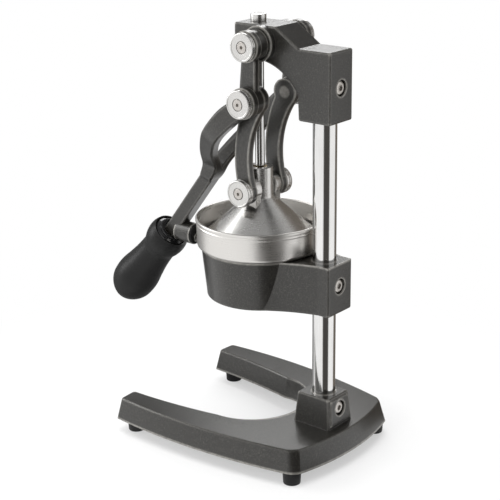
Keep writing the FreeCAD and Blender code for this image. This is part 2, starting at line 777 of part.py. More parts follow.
# Press cone: tube, bell and two ears
press_bell = turned(
    "press_bell",
    [(bush_radius + fit, tube_top), (tube_radius, tube_top), (tube_radius, cone_root_z + 1.5),
     (tube_radius + 1.6, cone_root_z - 1), (cone_radius - 0.8, cone_lip_z + 0.6), (cone_radius, cone_lip_z),
     (cone_radius, cone_lip_z - 2), (cone_radius - 2.4, cone_lip_z - 2),
     (tube_radius + 0.6, cone_root_z - 4.4), (bush_radius + fit, cone_root_z - 4.4)],
    {}, 0, -reach, 0)
ear_top = cylinder_x("ear_top", ear_radius, -ear_face, ear_face, -reach, low_z)
ear_root = box("ear_root", ear_face * 2, ear_root_half * 2, 18, -ear_face, -(reach + ear_root_half),
               low_z - 18)
ears = fuse("ears", [ear_top, ear_root])
ear_trim = cone("ear_trim", cone_radius - 2.4, 0.01, cone_radius - 2.4, 0, -reach, cone_lip_z - 3.5)
ears_only = cut("ears_only", ears, [ear_trim])
press_mass = fuse("press_mass", [press_bell, ears_only])
press_inner = cone("press_inner", 51, 8.5, 38.5, 0, -reach, 200)
press_bore = cylinder("press_bore", bush_radius + fit, 60, 0, -reach, 225)
ear_hole = cylinder_x("ear_hole", pin_radius + run, -(ear_face + 1), ear_face + 1, -reach, low_z)
ear_keep = cylinder("ear_keep", tube_radius - 0.1, 60, 0, -reach, 225)
ear_drill = cut("ear_drill", ear_hole, [ear_keep])
node("press_cone", cut("press_cut", press_mass, [press_inner, press_bore, ear_drill]))
bush = turned(
    "bush_body",
    [(rod_radius + run, cone_root_z - 4.4), (bush_radius, cone_root_z - 4.4),
     (bush_radius, tube_top - 2), (rod_radius + run, tube_top - 2)],
    {}, 0, -reach, 0)
node("guide_bush", bush)

# Lever casting: two prongs lofted through sections, then eyes, arms, shaft and stop boss
front_edge = [(-72, 339), (-84.5, 330.5), (-95, 321), (-104, 311.5), (-113, 302), (-121, 292.5),
              (-128.3, 282), (-134, 271.5), (-138.2, 261), (-143.5, 250)]
back_edge = [(-61, 322.5), (-73, 314.5), (-81.8, 307), (-90, 299.6), (-97.8, 292), (-105.2, 284.3),
             (-112, 276.2), (-116.6, 268), (-120.6, 258.6), (-130.5, 245.2)]
outer_x = [41.6, 42.2, 42.8, 42, 38.2, 31.4, 23.8, 15.6, 9.6, 6.7]
inner_x = [31, 32, 32.6, 31.6, 27.4, 20.6, 13, 5, -1.5, -3]
bevel = [1.5, 2, 3, 4, 5, 5.5, 5.5, 5, 3, 2]


def section(index, side):
    fy, fz = front_edge[index]
    by, bz = back_edge[index]
    outer = outer_x[index]
    inner = inner_x[index]
    width = Vector(0, by - fy, bz - fz)
    span = width.Length
    across = width * (1.0 / span)
    top = Vector(0, fy, fz)
    edge = 1.8
    deep = bevel[index]

    def spot(x, along):
        return top + across * along + Vector(side * x, 0, 0)

    reachable = outer - inner
    deep = min(deep, reachable * 0.6)
    points = [spot(outer - edge, 0), spot(outer, edge), spot(outer, span - edge),
              spot(outer - edge, span), spot(inner + edge, span), spot(inner, span - edge),
              spot(inner, deep), spot(inner + deep, 0)]
    points.append(points[0])
    return Part.makePolygon(points)


prongs = []
for side in (1, -1):
    wires = [section(index, side) for index in range(len(front_edge))]
    prong = doc.addObject("Part::Feature", "prong_right" if side > 0 else "prong_left")
    prong.Shape = Part.makeLoft(wires, True, False)
    prongs.append(prong)

lever_angle = dim("lever_shaft_angle", 37.9)
shaft_top = Vector(0, -129.5, 257.1)
shaft_run = dim("lever_shaft_length", 94.4)
shaft_bar = doc.addObject("Part::Box", "lever_shaft")
bind(shaft_bar, "Length", shaft_half * 2)
bind(shaft_bar, "Width", shaft_half * 2 - 0.3)
bind(shaft_bar, "Height", shaft_run)
tilt = Rotation(Vector(1, 0, 0), 180 - lever_angle.value)
corner = shaft_top + tilt.multVec(Vector(-shaft_half.value, -shaft_half.value + 0.15, 0))
shaft_bar.Placement = Placement(corner, tilt)
doc.recompute()
long_edges = []
for index, edge in enumerate(shaft_bar.Shape.Edges):
    if edge.Length > shaft_run.value - 1:
        long_edges.append((index + 1, 1.8, 1.8))
shaft_soft = doc.addObject("Part::Fillet", "lever_shaft_round")
shaft_soft.Base = shaft_bar
shaft_soft.Edges = long_edges

grip_turn = Rotation(Vector(1, 0, 0), grip_angle.value)
tang = cylinder("tang", tang_radius, tang_length, 0, -grip_y, grip_z, grip_turn)
peg_run = dim("stop_boss_length", 20)
peg = cylinder("stop_boss", peg_radius, peg_run, 0, -(peg_end + peg_run), lug_z, ALONG_Y)

lever_parts = prongs + [shaft_soft, tang, peg]
lever_cuts = []
for side, word in ((1, "right"), (-1, "left")):
    low, high = mirrored_x(eye_in, eye_step + 0.5, side)
    lever_parts.append(cylinder_x("eye_inner_" + word, eye_small, low, high, -upper_y, upper_z))
    low, high = mirrored_x(eye_step, eye_out, side)
    lever_parts.append(cylinder_x("eye_outer_" + word, eye_radius, low, high, -upper_y, upper_z))
    low, high = mirrored_x(mid_in, mid_step + 0.5, side)
    lever_parts.append(cylinder_x("boss_inner_" + word, eye_small, low, high, -mid_y, mid_z))
    low, high = mirrored_x(mid_step, mid_out, side)
    lever_parts.append(cylinder_x("boss_outer_" + word, eye_radius, low, high, -mid_y, mid_z))
    low, high = mirrored_x(arm_in, arm_out, side)
    arm = plate(
        "arm_" + word, "YZ_Plane", low, high - low,
        [(-(upper_y + 9.2), upper_z - 4), (-(mid_y + 11.2), mid_z + 4), (-(mid_y - arm_back), mid_z + 4),
         (-(upper_y - 7.2), upper_z - 4)], {})
    outer_x_at = (high if side > 0 else low).value

    def is_front(edge, face_at=outer_x_at):
        low_box = edge.BoundBox
        return (low_box.ZLength > 30 and low_box.YMax < -upper_y.value
                and abs(low_box.Center.x - face_at) < 0.01)

    def is_rear(edge, face_at=outer_x_at):
        low_box = edge.BoundBox
        return (low_box.ZLength > 30 and low_box.YMin > -upper_y.value
                and abs(low_box.Center.x - face_at) < 0.01)

    round_edges(arm, arm_front_round, is_front, "arm_front_" + word)
    round_edges(arm, arm_rear_round, is_rear, "arm_rear_" + word)
    lever_parts.append(arm)
    low, high = mirrored_x(eye_in - 1, eye_out + 1, side)
    lever_cuts.append(cylinder_x("eye_bore_" + word, shaft_radius + run, low, high, -upper_y, upper_z))
    low, high = mirrored_x(mid_in - 1, mid_out + 1, side)
    lever_cuts.append(cylinder_x("boss_bore_" + word, pin_radius + fit, low, high, -mid_y, mid_z))
node("lever_fork", cut("lever_cut", fuse("lever_mass", lever_parts), lever_cuts))

# Rubber bumper on the end of the stop boss
bumper = turned(
    "bumper_body",
    [(0, fit), (bumper_radius, fit), (bumper_radius, bumper_thickness - 0.6),
     (bumper_radius - 0.6, bumper_thickness), (0, bumper_thickness)],
    {}, 0, -peg_end, lug_z, ALONG_Y)
node("stop_bumper", bumper)

# Grip and ferrule along the grip axis
ferrule = turned(
    "ferrule_body",
    [(10.8, -2.6), (12.6, -2.6), (13.4, -1.8), (13.4, -0.4), (15.6, 0.6), (16.6, 1.8), (16.6, 5.2),
     (tang_radius + fit, 5.2), (tang_radius + fit, 1.7), (10.8, 1.7)],
    {}, 0, -grip_y, grip_z, grip_turn)
node("ferrule", ferrule)
grip_points = [(grip_mouth, 0), (grip_lip - 0.4, 5), (grip_lip, 11), (grip_lip - 0.9, 17.5),
               (grip_waist + 0.3, 24.5), (grip_waist, 30), (grip_waist + 0.9, 44), (grip_bulb - 2.3, 58.5),
               (grip_bulb - 0.4, 70), (grip_bulb, 79), (grip_bulb - 1.1, 89), (grip_bulb - 4.9, 97.5),
               (11.5, 104.7),
               (0.01, grip_length)]
curve = Part.BSplineCurve()
curve.interpolate([Vector(as_size(a).value, 0, as_size(b).value) for a, b in grip_points])
mouth_in = Vector(17.0, 0, 0)
deep_out = Vector(17.0, 0, 5.3)
deep_in = Vector(tang_radius.value + fit.value, 0, 5.3)
blind_out = Vector(tang_radius.value + fit.value, 0, tang_length.value + 0.5)
blind_in = Vector(0, 0, tang_length.value + 0.5)
start = Vector(grip_mouth.value, 0, 0)
tip = Vector(0.01, 0, grip_length.value)
axis_end = Vector(0, 0, grip_length.value)
grip_edges = [curve.toShape(), Part.makeLine(tip, axis_end), Part.makeLine(axis_end, blind_in),
              Part.makeLine(blind_in, blind_out), Part.makeLine(blind_out, deep_in),
              Part.makeLine(deep_in, deep_out), Part.makeLine(deep_out, mouth_in),
              Part.makeLine(mouth_in, start)]
grip_face = Part.Face(Part.Wire(Part.__sortEdges__(grip_edges)))
grip = doc.addObject("Part::Feature", "grip_body")
grip.Shape = grip_face.revolve(Vector(0, 0, 0), Vector(0, 0, 1), 360)
grip.Placement = Placement(Vector(0, -grip_y.value, grip_z.value), grip_turn)
node("grip", grip)


def group(name, parts):
    item = doc.addObject("Part::Compound", name + "_group")
    item.Links = parts
    node(name, item)


group("foot_screws", foot_screws)
group("set_screws", set_screws)
group("upper_cap_screws", upper_cap_screws)
group("mid_cap_screws", mid_cap_screws)

# Row frame: the origin moves from the column axis to the middle of the footprint on the counter
for item in nodes.values():
    depth = repr(item.Placement.Base.y)
    for path, text in item.ExpressionEngine:
        if path.endswith("Placement.Base.y"):
            depth = text
    item.setExpression("Placement.Base.y", "(%s) + %s" % (depth, frame_middle.text))

doc.recompute()

for item in doc.Objects:
    if "Invalid" in item.State or "Error" in item.State:
        raise RuntimeError("%s is not built: %s" % (item.Name, item.State))

for name, item in nodes.items():
    shape = item.Shape
    if shape.isNull() or not shape.isValid() or not shape.Solids:
        raise RuntimeError("bad shape for " + name)
    shape.exportStep("parts/%s.step" % name)
    print("%-20s solids %d volume %.1f cm3" % (name, len(shape.Solids), shape.Volume / 1000.0))
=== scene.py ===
import json
import math

import bmesh
import bpy
from mathutils import Matrix, Vector


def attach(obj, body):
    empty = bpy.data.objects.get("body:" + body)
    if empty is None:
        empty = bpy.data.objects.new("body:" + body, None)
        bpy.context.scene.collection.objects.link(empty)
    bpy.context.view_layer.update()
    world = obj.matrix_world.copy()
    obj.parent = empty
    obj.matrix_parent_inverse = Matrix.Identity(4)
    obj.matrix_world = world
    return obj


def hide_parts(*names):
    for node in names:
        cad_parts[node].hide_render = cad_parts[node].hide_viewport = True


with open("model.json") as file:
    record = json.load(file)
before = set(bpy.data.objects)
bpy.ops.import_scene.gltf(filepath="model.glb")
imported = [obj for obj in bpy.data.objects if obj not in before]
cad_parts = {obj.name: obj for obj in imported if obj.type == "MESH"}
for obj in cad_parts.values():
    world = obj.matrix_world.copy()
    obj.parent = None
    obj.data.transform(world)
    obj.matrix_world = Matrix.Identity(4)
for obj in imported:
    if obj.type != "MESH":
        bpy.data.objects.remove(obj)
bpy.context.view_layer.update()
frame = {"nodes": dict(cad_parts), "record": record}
nodes = frame["nodes"]
scene = bpy.context.scene

# The frame: +Z up, handle towards -Y, lengths in metres unless MM stands beside them
MM = 0.001
COLUMN_Y = 0.11559
CUP_Y = COLUMN_Y - 0.074
UP = (0, 0, 1)
COLUMN_FOOT = (0, COLUMN_Y, 0)
CUP_FOOT = (0, CUP_Y, 0)

# Degrees from +X round to the camera, seen from above
CAMERA_BEARING = 39.8


# Camera: the photograph's viewing angle, fitted to the outlines of the object
def aim_camera():
    turn = math.radians(129.758)
    rise = math.radians(19.016)
    roll = math.radians(-0.779)
    distance = 1.27107
    target = Vector((0, COLUMN_Y - 0.087417, 0.184634))
    back = Vector((math.sin(turn) * math.cos(rise), -math.cos(turn) * math.cos(rise), math.sin(rise)))
    right = Vector((math.cos(turn), math.sin(turn), 0))
    up = back.cross(right)
    right_rolled = right * math.cos(roll) + up * math.sin(roll)
    up_rolled = up * math.cos(roll) - right * math.sin(roll)
    data = bpy.data.cameras.new("camera")
    data.lens = 96.62
    data.sensor_width = 36
    data.clip_start = 0.05
    data.clip_end = 50
    camera = bpy.data.objects.new("camera", data)
    camera.matrix_world = Matrix.Translation(target + back * distance) @ Matrix(
        (right_rolled, up_rolled, back)).transposed().to_4x4()
    scene.collection.objects.link(camera)
    scene.camera = camera


aim_camera()


# Materials
class Surface:
    """A Principled material whose colour, roughness and relief come from nodes in the object's own metres."""

    def __init__(self, name, metallic, **sockets):
        self.material = bpy.data.materials.new(name)
        self.material.use_nodes = True
        self.tree = self.material.node_tree
        self.shader = self.tree.nodes["Principled BSDF"]
        self.shader.inputs["Metallic"].default_value = metallic
        for socket, value in sockets.items():
            self.shader.inputs[socket.replace("_", " ")].default_value = value
        self.spot = self.add("ShaderNodeTexCoord").outputs["Object"]
        self.normal = None

    def add(self, kind, **values):
        item = self.tree.nodes.new(kind)
        for key, value in values.items():
            setattr(item, key, value)
        return item

    def link(self, source, target):
        self.tree.links.new(source, target)

    def stretched(self, x, y, z):
        item = self.add("ShaderNodeMapping")
        item.inputs["Scale"].default_value = (x, y, z)
        self.link(self.spot, item.inputs["Vector"])
        return item.outputs["Vector"]

    def noise(self, scale, detail=3.0, roughness=0.55, vector=None):
        item = self.add("ShaderNodeTexNoise")
        item.inputs["Scale"].default_value = scale
        item.inputs["Detail"].default_value = detail
        item.inputs["Roughness"].default_value = roughness
        self.link(vector or self.spot, item.inputs["Vector"])
        return item.outputs["Fac"]

    def cells(self, scale):
        item = self.add("ShaderNodeTexVoronoi", feature="SMOOTH_F1")
        item.inputs["Scale"].default_value = scale
        item.inputs["Smoothness"].default_value = 0.6
        self.link(self.spot, item.inputs["Vector"])
        return item.outputs["Distance"]

    def spread(self, value, low, high, start, end):
        item = self.add("ShaderNodeMapRange")
        for socket, number in (("From Min", low), ("From Max", high), ("To Min", start), ("To Max", end)):
            item.inputs[socket].default_value = number
        self.link(value, item.inputs["Value"])
        return item.outputs["Result"]

    def combine(self, operation, first, second):
        item = self.add("ShaderNodeMath", operation=operation)
        for index, value in enumerate((first, second)):
            if isinstance(value, (int, float)):
                item.inputs[index].default_value = value
            else:
                self.link(value, item.inputs[index])
        return item.outputs["Value"]

    def shade(self, value, *stops):
        item = self.add("ShaderNodeValToRGB")
        ramp = item.color_ramp
        while len(ramp.elements) < len(stops):
            ramp.elements.new(0.5)
        for element, (place, colour) in zip(ramp.elements, stops):
            element.position = place
            element.color = (*colour, 1)
        self.link(value, item.inputs["Fac"])
        return item.outputs["Color"]

    def blend(self, factor, first, second):
        item = self.add("ShaderNodeMix", data_type="RGBA")
        self.link(factor, item.inputs["Factor"])
        for index, colour in ((6, first), (7, second)):
            if isinstance(colour, tuple):
                item.inputs[index].default_value = (*colour, 1)
            else:
                self.link(colour, item.inputs[index])
        return item.outputs[2]

    def rounded(self, radius):
        """Soft highlights along the edges, as on a cast or tumbled part."""
        item = self.add("ShaderNodeBevel", samples=6)
        item.inputs["Radius"].default_value = radius
        self.normal = item.outputs["Normal"]

    def edges(self, reach):
        """0 on open faces, rising to 1 along outer edges, where the solid behind the surface is thin."""
        item = self.add("ShaderNodeAmbientOcclusion", samples=12, inside=True, only_local=True)
        item.inputs["Distance"].default_value = reach
        open_face, full_edge = 0.9, 0.64
        return self.spread(item.outputs["AO"], open_face, full_edge, 0, 1)

    def relief(self, height, distance, strength):
        item = self.add("ShaderNodeBump")
        item.inputs["Distance"].default_value = distance
        item.inputs["Strength"].default_value = strength
        self.link(height, item.inputs["Height"])
        if self.normal:
            self.link(self.normal, item.inputs["Normal"])
        self.normal = item.outputs["Normal"]

    def finish(self, colour, roughness):
        self.link(colour, self.shader.inputs["Base Color"])
        self.link(roughness, self.shader.inputs["Roughness"])
        self.link(self.normal, self.shader.inputs["Normal"])
        return self.material


def casting_paint():
    """Dark bronze-grey enamel over cast aluminium: fine pebbled skin, metallic fleck, and a painted highlight of
    lighter colour along the outer edges.
    """
    s = Surface("casting_paint", 0.45, Specular_IOR_Level=0.85, Coat_Weight=0.5, Coat_Roughness=0.2)
    s.rounded(0.0012)
    pebble = s.cells(1100)
    fleck = s.noise(2600, 2)
    cloud = s.noise(24, 3)
    skin = s.combine("ADD", s.combine("MULTIPLY", pebble, 0.8), s.combine("MULTIPLY", fleck, 0.45))
    s.relief(skin, 0.00014, 0.5)
    waviness = s.noise(110, 2)
    s.relief(waviness, 0.0009, 0.06)
    grain = s.combine("ADD", s.combine("MULTIPLY", pebble, 0.5), s.combine("MULTIPLY", fleck, 0.5))
    base = s.shade(grain, (0.3, (0.011, 0.0105, 0.009)), (0.5, (0.023, 0.0217, 0.0185)),
                   (0.75, (0.08, 0.0755, 0.066)))
    toned = s.blend(s.spread(cloud, 0.3, 0.7, 0, 0.5), base, (0.024, 0.0222, 0.019))
    # Painted highlight: a light colour laid in uneven patches along the outer edges, standing in for the bright
    # lines that light draws on rounded edges
    painted_highlight_patches = s.spread(s.noise(260, 3), 0.35, 0.6, 0.55, 0.9)
    edge_highlight_mask = s.combine("MULTIPLY", s.edges(0.0028), painted_highlight_patches)
    painted_edge_highlight = (0.34, 0.328, 0.3)
    colour = s.blend(edge_highlight_mask, toned, painted_edge_highlight)
    rough = s.combine("ADD", s.spread(fleck, 0.3, 0.7, 0.27, 0.37), s.spread(cloud, 0.3, 0.7, -0.03, 0.04))
    return s.finish(colour, rough)


METAL = 1.0
CHROME_LINE = 0.000004


def bright_metal(name, tint, low, high, lines, scratch, edge=0.0):
    """Polished or ground metal of roughness low to high, with fine lines along one way and handling haze."""
    s = Surface(name, METAL)
    if edge:
        s.rounded(edge)
    line = s.noise(700, 3, 0.6, s.stretched(*lines))
    haze = s.noise(40, 3)
    s.relief(line, scratch, 0.5)
    darker = tuple(0.9 * c for c in tint)
    colour = s.blend(s.spread(s.combine("ADD", line, haze), 0.7, 1.3, 0, 1), tint, darker)
    hazed = s.spread(haze, 0.35, 0.7, 0, 0.35 * (high - low))
    rough = s.combine("ADD", s.spread(line, 0.35, 0.65, low, high), hazed)
    return s.finish(colour, rough)


def turned_metal(name, tint, low, high, anisotropic, spacing, depth):
    """Metal turned or spun about the cup's upright axis: fine rings round it and a streaked, satin sheen."""
    s = Surface(name, METAL, Anisotropic=anisotropic)
    move = s.add("ShaderNodeMapping")
    move.inputs["Location"].default_value = (0, -CUP_Y, 0)
    s.link(s.spot, move.inputs["Vector"])
    flat = s.add("ShaderNodeSeparateXYZ")
    s.link(move.outputs["Vector"], flat.inputs["Vector"])
    square = s.combine("ADD", s.combine("MULTIPLY", flat.outputs["X"], flat.outputs["X"]),
                       s.combine("MULTIPLY", flat.outputs["Y"], flat.outputs["Y"]))
    radius = s.combine("SQRT", square, 0)
    walk = s.combine("ADD", radius, flat.outputs["Z"])
    along = s.add("ShaderNodeCombineXYZ")
    s.link(walk, along.inputs["X"])
    ring = s.noise(spacing, 4, 0.65, along.outputs["Vector"])
    cloud = s.noise(60, 3)
    s.relief(ring, depth, 0.6)
    darker = tuple(0.94 * c for c in tint)
    colour = s.blend(s.spread(ring, 0.35, 0.65, 0, 1), tint, darker)
    rough = s.combine("ADD", s.spread(ring, 0.35, 0.65, low, high), s.spread(cloud, 0.3, 0.7, -0.02, 0.03))
    tangent = s.add("ShaderNodeTangent", direction_type="RADIAL", axis="Z")
    s.link(tangent.outputs["Tangent"], s.shader.inputs["Tangent"])
    return s.finish(colour, rough)


def grip_plastic():
    """Matt black moulded plastic: very fine spark texture and a slight handling sheen."""
    s = Surface("grip_plastic", 0.0, Specular_IOR_Level=0.28)
    spark = s.noise(1700, 2)
    cloud = s.noise(45, 3)
    s.relief(spark, 0.00007, 0.5)
    colour = s.blend(s.spread(cloud, 0.3, 0.7, 0, 1), (0.0035, 0.0035, 0.0035), (0.006, 0.006, 0.0058))
    rough = s.combine("ADD", s.spread(spark, 0.3, 0.7, 0.34, 0.43), s.spread(cloud, 0.3, 0.7, 0, 0.06))
    return s.finish(colour, rough)


def black_gloss():
    """Glossy black enamel with a little orange peel and dust-fine scuffs."""
    s = Surface("black_gloss", 0.0, Coat_Weight=0.6, Coat_Roughness=0.06)
    s.rounded(0.0003)
    peel = s.noise(420, 2)
    scuff = s.noise(900, 4, 0.7, s.stretched(1, 0.2, 1))
    s.relief(peel, 0.00005, 0.3)
    colour = s.blend(s.spread(scuff, 0.5, 0.8, 0, 1), (0.006, 0.006, 0.0065), (0.014, 0.014, 0.0145))
    return s.finish(colour, s.spread(scuff, 0.35, 0.75, 0.1, 0.24))


def black_rubber():
    """Matt black rubber, slightly bloomed, with a moulded grain."""
    s = Surface("black_rubber", 0.0, Specular_IOR_Level=0.3)
    s.rounded(0.0006)
    grain = s.noise(1100, 3)
    bloom = s.noise(70, 4)
    s.relief(grain, 0.00012, 0.6)
    colour = s.blend(s.spread(bloom, 0.35, 0.75, 0, 1), (0.0075, 0.0075, 0.0078), (0.018, 0.0175, 0.017))
    return s.finish(colour, s.spread(grain, 0.3, 0.7, 0.5, 0.7))


paint = casting_paint()
chrome = bright_metal("chrome_plate", (0.86, 0.855, 0.845), 0.08, 0.13, (1, 1, 0.03), CHROME_LINE)
rod_chrome = bright_metal("rod_chrome", (0.8, 0.795, 0.785), 0.08, 0.15, (1, 1, 0.05), CHROME_LINE)
cap_steel = bright_metal("cap_steel", (0.74, 0.73, 0.71), 0.2, 0.28, (0.05, 1, 1), CHROME_LINE)
screw_steel = bright_metal("screw_steel", (0.62, 0.59, 0.555), 0.24, 0.36, (1, 1, 1), 0.00001, 0.0003)
bowl_steel = turned_metal("bowl_steel", (0.8, 0.78, 0.75), 0.26, 0.32, 0.55, 1600, 0.000003)
cone_metal = turned_metal("cone_metal", (0.74, 0.73, 0.71), 0.22, 0.28, 0.6, 2300, 0.000003)
reamer_metal = turned_metal("reamer_metal", (0.66, 0.655, 0.64), 0.28, 0.4, 0.3, 1500, 0.00004)
brass = bright_metal("brass", (0.5, 0.4, 0.24), 0.26, 0.4, (1, 1, 0.1), 0.00002)
grip_black = grip_plastic()
gloss = black_gloss()
rubber = black_rubber()

FINISH = {
    "casting": paint,
    "chrome": chrome,
    "steel": screw_steel,
    "stainless": bowl_steel,
    "aluminium": cone_metal,
    "brass": brass,
    "grip": grip_black,
    "gloss_black": gloss,
    "rubber": rubber,
}

slot_of = {part["node"]: part["material_slot"] for part in frame["record"]["subparts"]}

SPECIAL = {
    "guide_rod": rod_chrome,
    "reamer": reamer_metal,
}

for name, item in nodes.items():
    material = SPECIAL.get(name) or FINISH.get(slot_of.get(name, ""), paint)
    if "cap" in name and "screw" not in name:
        material = cap_steel
    item.data.materials.clear()
    item.data.materials.append(material)


# Turned pieces, cut finer than the solids they stand for; outlines are in millimetres
def softened(corners, steps=6):
    """Closed outline of (radius, place along the axis, corner round) with an arc at each rounded corner."""
    points = []
    for index, (across, along, round_radius) in enumerate(corners):
        here = Vector((across, along))
        if round_radius <= 0:
            points.append(here)
            continue
        ahead = corners[(index + 1) % len(corners)]
        to_last = (Vector(corners[index - 1][:2]) - here).normalized()
        to_next = (Vector(ahead[:2]) - here).normalized()
        half = to_last.angle(to_next) / 2
        centre = here + (to_last + to_next).normalized() * (round_radius / math.sin(half))
        first = to_last * (round_radius / math.tan(half)) + here - centre
        last = to_next * (round_radius / math.tan(half)) + here - centre
        for step in range(steps + 1):
            share = step / steps
            points.append(centre + first.lerp(last, share).normalized() * round_radius)
    return points


def flowing(points, steps=8):
    """Smooth open line through (radius, place) points."""
    line = []
    chain = [Vector(point) for point in points]
    padded = [chain[0] * 2 - chain[1]] + chain + [chain[-1] * 2 - chain[-2]]
    for index in range(1, len(padded) - 2):
        a, b, c, d = padded[index - 1:index + 3]
        for step in range(steps):
            t = step / steps
            line.append(0.5 * (2 * b + (c - a) * t + (2 * a - 5 * b + 4 * c - d) * t * t
                               + (3 * b - a - 3 * c + d) * t * t * t))
    line.append(chain[-1])
    return line


def turned_piece(name, outline, place, axis, material, body, replaced=(), segments=128, sharp=32):
    """Solid of revolution of a closed outline about an axis through a place."""
    turn = Vector((0, 0, 1)).rotation_difference(Vector(axis)).to_matrix()
    mesh = bmesh.new()
    rings = []
    for step in range(segments):
        angle = 2 * math.pi * step / segments
        rings.append([mesh.verts.new(Vector(place) + MM * (turn @ Vector(
            (point.x * math.cos(angle), point.x * math.sin(angle), point.y)))) for point in outline])
    for step in range(segments):
        here, ahead = rings[step], rings[(step + 1) % segments]
        for index in range(len(outline)):
            after = (index + 1) % len(outline)
            if outline[index].x < 1e-6 and outline[after].x < 1e-6:
                continue
            mesh.faces.new((here[index], ahead[index], ahead[after], here[after]))
    bmesh.ops.remove_doubles(mesh, verts=mesh.verts, dist=1e-7)
    bmesh.ops.recalc_face_normals(mesh, faces=mesh.faces)
    return finished_piece(name, mesh, material, body, replaced, sharp)


def finished_piece(name, mesh, material, body, replaced, sharp=32):
    data = bpy.data.meshes.new(name)
    mesh.to_mesh(data)
    mesh.free()
    data.shade_smooth()
    data.set_sharp_from_angle(angle=math.radians(sharp))
    data.materials.append(material)
    item = bpy.data.objects.new(name, data)
    scene.collection.objects.link(item)
    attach(item, body)
    if replaced:
        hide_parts(*replaced)
    return item


def bar_outline(radius, low, high, low_round, high_round):
    return softened([(0, low, 0), (radius, low, low_round), (radius, high, high_round), (0, high, 0)], 3)


turned_piece("column_tube", bar_outline(10.8, 17, 380, 1, 1),
             COLUMN_FOOT, UP, chrome, "frame", ["column"])
turned_piece("guide_rod_bar", bar_outline(4.5, 241, 406.9, 0.7, 0.3),
             CUP_FOOT, UP, rod_chrome, "frame", ["guide_rod"], 64)
turned_piece("rod_nut_cap", softened([(4.6, 402.9, 0), (7.1, 402.9, 0.3), (7.1, 409.5, 0.8), (0, 409.5, 0),
                                      (0, 407.1, 0), (4.6, 407.1, 0)], 4),
             CUP_FOOT, UP, cap_steel, "frame", ["guide_rod_nut"], 64)

# Bowl: one pressing with a rolled rim and a bead under it
turned_piece("bowl_pressing", softened([
    (60, 193.45, 4.6), (60, 215.4, 0.5), (60.45, 216.2, 0.5), (60, 217.2, 0.4), (60, 218.4, 0.4), (61, 218.9, 0.6),
    (61, 221.7, 1.2), (58.5, 221.7, 1), (58.8, 219.6, 0.5), (58.8, 194.65, 3.4), (43, 194.65, 1.2),
    (7.8, 166, 2), (7.8, 137, 0.3), (9, 137, 0.3), (9, 165.4, 2), (42.6, 193.45, 1.2)]),
    CUP_FOOT, UP, bowl_steel, "frame", ["bowl"], 192)

# Press: spun bell with its tube, and the two ears that carry the link pins
BELL_TOP, BELL_TOP_RADIUS, BELL_SLOPE = 240.5, 13.7, 0.9215
turned_piece("press_bell", softened([
    (6.85, 269.7, 0), (12.1, 269.7, 0.7), (12.1, 241.6, 3.6), (53.6, 203.9, 0.5), (54, 203.2, 0.3),
    (54, 201.5, 0.3), (49.3, 201.5, 0.3), (10, 237.1, 0.4), (6.85, 237.1, 0)]),
    CUP_FOOT, UP, cone_metal, "press", ["press_cone"], 192)


def press_ear(side, name):
    """Lug rising from the bell beside the tube, rounded over the pin."""
    middle, top_round, root, sunk = 249.6, 11.3, 9.4, 1.5
    arc_steps = 40
    shoulder = math.asin(root / top_round)
    outline = [(-root, None), (-root, middle - top_round * math.cos(shoulder))]
    first = math.pi + (math.pi / 2 - shoulder)
    last = -(math.pi / 2 - shoulder)
    for step in range(arc_steps + 1):
        angle = first + (last - first) * step / arc_steps
        outline.append((top_round * math.cos(angle), middle + top_round * math.sin(angle)))
    outline.append((root, None))
    mesh = bmesh.new()
    loops = []
    for across, inset in ((11, 0), (17.4, 0), (17.85, 0.15), (18.1, 0.6)):
        loop = []
        shrink = 1 - inset / top_round
        for y, z in outline:
            depth = y * shrink
            if z is None:
                height = BELL_TOP - (math.hypot(across, depth) - BELL_TOP_RADIUS) * BELL_SLOPE - sunk
            else:
                height = middle + (z - middle) * shrink
            loop.append(mesh.verts.new((MM * across * side, CUP_Y + MM * depth, MM * height)))
        loops.append(loop)
    for here, ahead in zip(loops, loops[1:]):
        for index in range(len(outline)):
            after = (index + 1) % len(outline)
            mesh.faces.new((here[index], here[after], ahead[after], ahead[index]))
    mesh.faces.new(loops[0])
    mesh.faces.new(loops[-1])
    bmesh.ops.recalc_face_normals(mesh, faces=mesh.faces)
    return finished_piece(name, mesh, cone_metal, "press", ["press_cone"])


press_ear(1, "press_ear_right")
press_ear(-1, "press_ear_left")


# Caps: polished rim with a turned groove, round a satin face with a recessed screw seat
def cap_outline(thick):
    bore, rim, seat, groove = 2.55, 12.8, 3.2, thick * 0.4
    return softened([
        (bore, 0, 0), (rim, 0, 0.7), (rim, groove, 0.2), (12.3, groove + 0.4, 0.15), (rim, groove + 0.8, 0.2),
        (rim, thick, 0.9), (11.2, thick, 0.25), (10.9, thick - 0.3, 0.2), (5.6, thick - 0.3, 0.3),
        (5.45, thick - seat, 0), (bore, thick - seat, 0)], 5)


# Level, body, inner and outer end across, depth in front of the column axis, height
CAPS = (
    ("upper", "frame", 39.5, 44.4, 57.6, 387),
    ("mid", "lever", 42.25, 48.4, 59.7, 337),
    ("lower", "link", 25.55, 32.3, 74, 249.6),
)

for side, word in ((1, "right"), (-1, "left")):
    for level, body, start, end, depth, height in CAPS:
        turned_piece("%s_disc_%s" % (level, word), cap_outline(end - start),
                     (MM * start * side, COLUMN_Y - MM * depth, MM * height), (side, 0, 0),
                     cap_steel, "link_" + word if body == "link" else body,
                     ["%s_cap_%s" % (level, word)], 96)

# Rubber feet, tapering a little towards the floor round the recessed foot screw
FEET = (
    ("front_right", 74.6, -174),
    ("front_left", -74.6, -174),
    ("rear_right", 65.8, 13.2),
    ("rear_left", -65.8, 13.2),
)
foot_outline = softened([
    (2.05, 5.5, 0), (4.6, 5.5, 0), (4.6, 0, 0.2), (8, 0, 0.9), (8.7, 13, 0), (2.05, 13, 0)], 4)
for word, across, depth in FEET:
    turned_piece("foot_pad_" + word, foot_outline, (MM * across, COLUMN_Y + MM * depth, 0), UP, rubber,
                 "frame", ["foot_" + word], 64)

